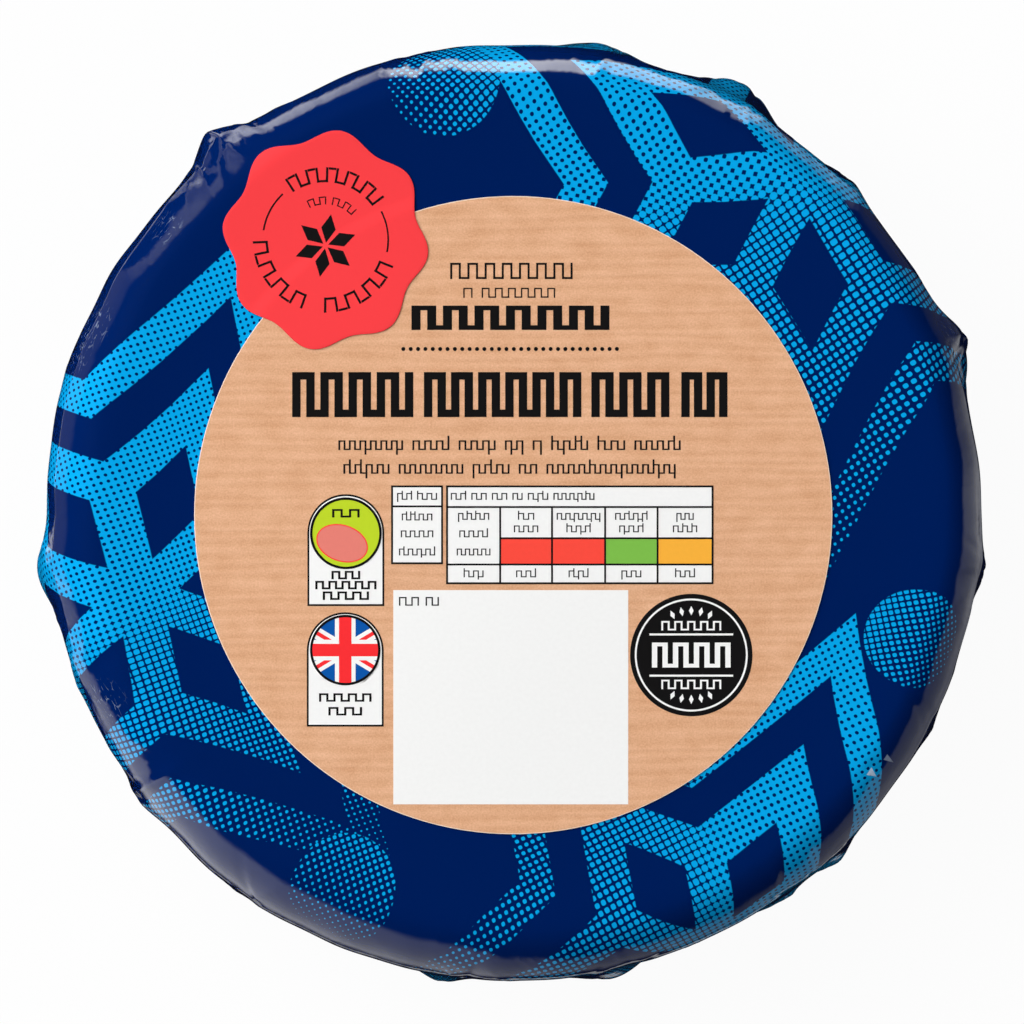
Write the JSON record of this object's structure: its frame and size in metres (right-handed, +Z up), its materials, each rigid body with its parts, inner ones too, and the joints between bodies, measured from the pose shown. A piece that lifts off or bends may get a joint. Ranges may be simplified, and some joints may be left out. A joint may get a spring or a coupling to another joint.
{
  "type": "wrapped pork pie",
  "caption": "Round pork pie shut in glossy printed shrink film, with gathered film ears round its side, a round paper label and a scalloped seal on top.",
  "frame": {"origin": "on the surface that the pack stands on, under the middle of its box", "axes": "+Z up through the top of the pack, +Y towards the top of the label's print, +X to the right of the print"},
  "size_m": [0.1522, 0.1506, 0.0464],
  "materials": {
    "film": "glossy navy shrink film with a bright blue dotted print",
    "kraft_paper": "uncoated ribbed kraft paper with flat print",
    "seal_paper": "smooth uncoated red paper with flat print"
  },
  "bodies": {
    "root": {"wrapped_pie": "film", "round_label": "kraft_paper", "seal_sticker": "seal_paper"}
  },
  "joints": []
}
